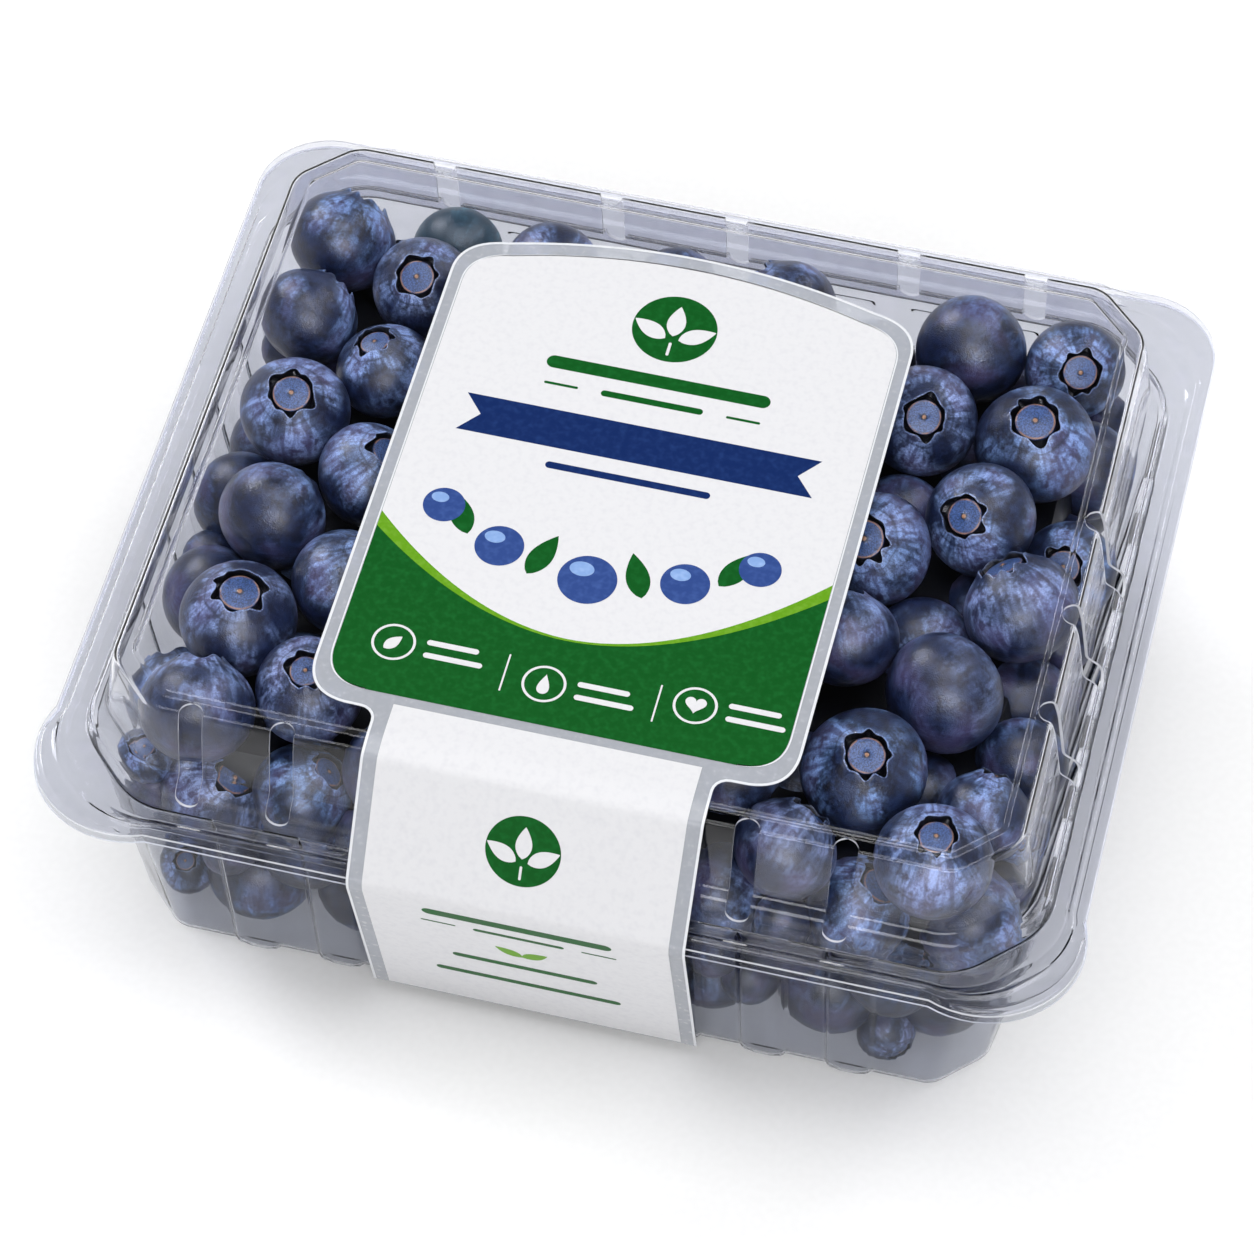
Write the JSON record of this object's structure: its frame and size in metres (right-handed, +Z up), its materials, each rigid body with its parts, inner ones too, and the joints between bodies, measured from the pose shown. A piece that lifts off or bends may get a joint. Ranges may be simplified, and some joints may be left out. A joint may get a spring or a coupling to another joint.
{
  "type": "punnet of blueberries",
  "caption": "Shut clear clamshell punnet with a ribbed tray and vented lid, full of blueberries and sealed by a label over the front.",
  "frame": {"origin": "on the floor under the middle of the pack's outline", "axes": "+X to the right along the pack's width, +Y from the labelled front to the hinge at the back, +Z up"},
  "size_m": [0.15, 0.1324, 0.0589],
  "materials": {
    "clear_sheet": "clear thermoformed PET sheet, glossy",
    "berry_skin": "deep blue skin with a pale waxy bloom",
    "label_film": "printed film label, satin white with green, lime and navy fields, clear border"
  },
  "bodies": {
    "root": {"tray": "clear_sheet", "lid": "clear_sheet", "berries": "berry_skin", "label": "label_film"}
  },
  "joints": []
}
